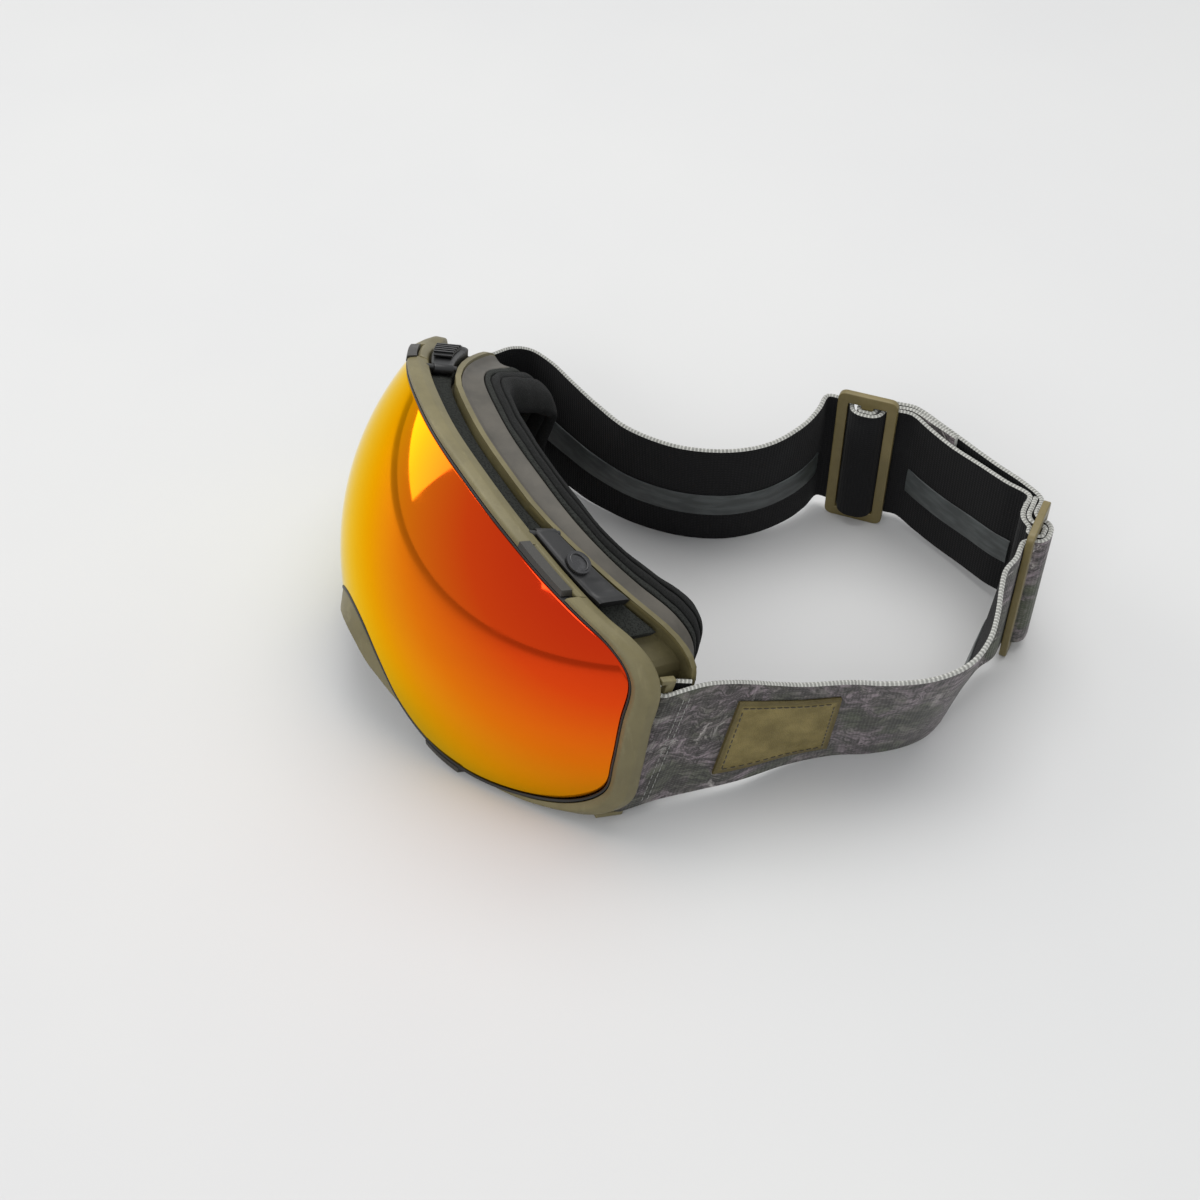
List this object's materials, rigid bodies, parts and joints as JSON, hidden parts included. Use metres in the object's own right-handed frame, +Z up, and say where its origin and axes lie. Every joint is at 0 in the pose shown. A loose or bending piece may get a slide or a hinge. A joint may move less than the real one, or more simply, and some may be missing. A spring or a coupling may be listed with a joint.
{
  "type": "ski goggles",
  "caption": "Wide ski goggles with a spherical mirrored lens, side lock levers, vented frame, face foam and an adjustable patterned head strap.",
  "frame": {"origin": "on the table, under the middle of the whole outline as the goggles lie with the strap loop behind them", "axes": "+X is the wearer's left, -Y is the way the lens faces, +Z is up"},
  "size_m": [0.1944, 0.2208, 0.0991],
  "materials": {
    "lens_mirror": "orange mirror lens",
    "lens_clear": "clear inner lens",
    "gasket": "black gasket",
    "tab_grey": "grey moulded",
    "frame_tan": "satin tan moulded frame",
    "flange_taupe": "soft taupe moulding",
    "vent_foam": "open cell foam",
    "face_foam": "fleece faced foam",
    "lever_black": "black lever",
    "steel": "pin",
    "strap_camo": "printed elastic webbing",
    "silicone": "silicone grip bead",
    "patch": "stitched patch"
  },
  "bodies": {
    "frame": {"front_frame": "frame_tan", "rear_frame": "frame_tan", "vent_foam_top": "vent_foam", "vent_foam_bottom": "vent_foam", "face_flange": "flange_taupe", "foam_base": "face_foam", "foam_core": "face_foam", "foam_face": "face_foam", "lever_pin_left": "steel", "lever_pin_right": "steel", "strap_left": "strap_camo", "strap_right": "strap_camo", "grip_left": "silicone", "grip_right": "silicone", "grip_back": "silicone", "strap_patch": "patch", "slider_left": "frame_tan", "slider_right": "frame_tan"},
    "lens": {"outer_lens": "lens_mirror", "lens_spacer": "vent_foam", "inner_lens": "lens_clear", "lens_carrier": "gasket", "lens_tab_top_left": "tab_grey", "lens_tab_top_right": "tab_grey", "lens_tab_low_left": "tab_grey", "lens_tab_low_right": "tab_grey"},
    "lever_left": {"lock_lever_left": "lever_black", "lever_badge_left": "tab_grey"},
    "lever_right": {"lock_lever_right": "lever_black", "lever_pad_right": "lever_black"}
  },
  "joints": [
    {"name": "lens_release", "type": "slide", "parent": "frame", "child": "lens", "axis": [0, -0.9542, 0.299], "range_m": [0, 0.02]},
    {"name": "lever_left_hinge", "type": "hinge", "parent": "frame", "child": "lever_left", "pos_m": [0.03694, -0.0585, 0.08592], "axis": [0.0309, -0.9191, 0.3928], "range_deg": [0, 45]},
    {"name": "lever_right_hinge", "type": "hinge", "parent": "frame", "child": "lever_right", "pos_m": [-0.04769, -0.0585, 0.08592], "axis": [0.0309, 0.9191, -0.3928], "range_deg": [0, 45]}
  ]
}
